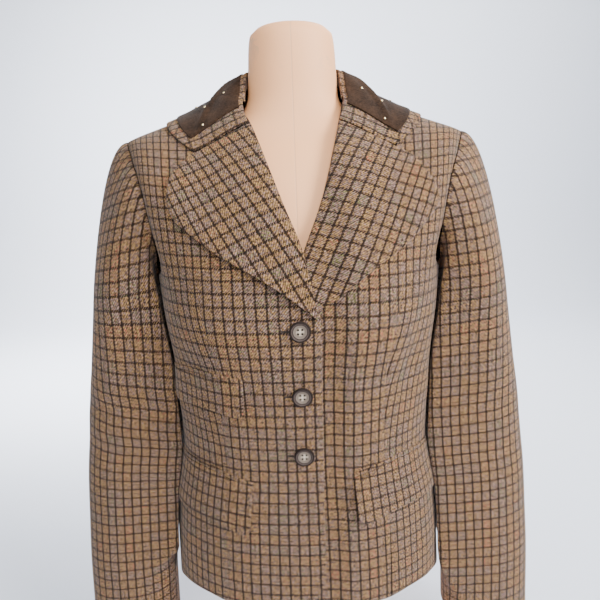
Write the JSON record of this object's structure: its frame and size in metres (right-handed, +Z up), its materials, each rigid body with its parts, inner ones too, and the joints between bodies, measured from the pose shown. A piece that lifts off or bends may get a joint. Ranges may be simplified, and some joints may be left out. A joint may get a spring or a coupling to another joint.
{
  "type": "riding jacket on dress form",
  "caption": "Buttoned tweed hacking jacket with notched lapels, suede-faced collar, flap pockets and set-in sleeves, on a limbless dress form.",
  "frame": {"origin": "on the surface the dress form stands on, under the middle of the form", "axes": "+Z up, -Y the way the jacket faces, +X the wearer's left"},
  "size_m": [0.61, 0.2548, 0.8295],
  "materials": {
    "tweed": "woven wool check with a short nap",
    "suede": "dark brown suede",
    "horn": "polished, mottled like horn",
    "pale_brass": "polished pale gold",
    "form_skin": "smooth matte"
  },
  "bodies": {
    "root": {"dress_form": "form_skin", "front_right": "tweed", "front_left": "tweed", "side_front_right": "tweed", "side_front_left": "tweed", "back_right": "tweed", "back_left": "tweed", "lapel_right": "tweed", "lapel_left": "tweed", "sleeve_upper_right": "tweed", "sleeve_upper_left": "tweed", "sleeve_under_right": "tweed", "sleeve_under_left": "tweed", "collar_fall": "tweed", "collar_stand": "tweed", "flap_hip_left": "tweed", "flap_hip_right": "tweed", "flap_ticket": "tweed", "jet_hip_left": "tweed", "jet_hip_right": "tweed", "jet_ticket": "tweed", "collar_patch": "suede", "button_1": "horn", "button_2": "horn", "button_3": "horn", "stud_right_1": "pale_brass", "stud_right_2": "pale_brass", "stud_right_3": "pale_brass", "stud_right_4": "pale_brass", "stud_right_5": "pale_brass", "stud_right_6": "pale_brass", "stud_left_1": "pale_brass", "stud_left_2": "pale_brass", "stud_left_3": "pale_brass", "stud_left_4": "pale_brass", "stud_left_5": "pale_brass", "stud_left_6": "pale_brass"}
  },
  "joints": []
}
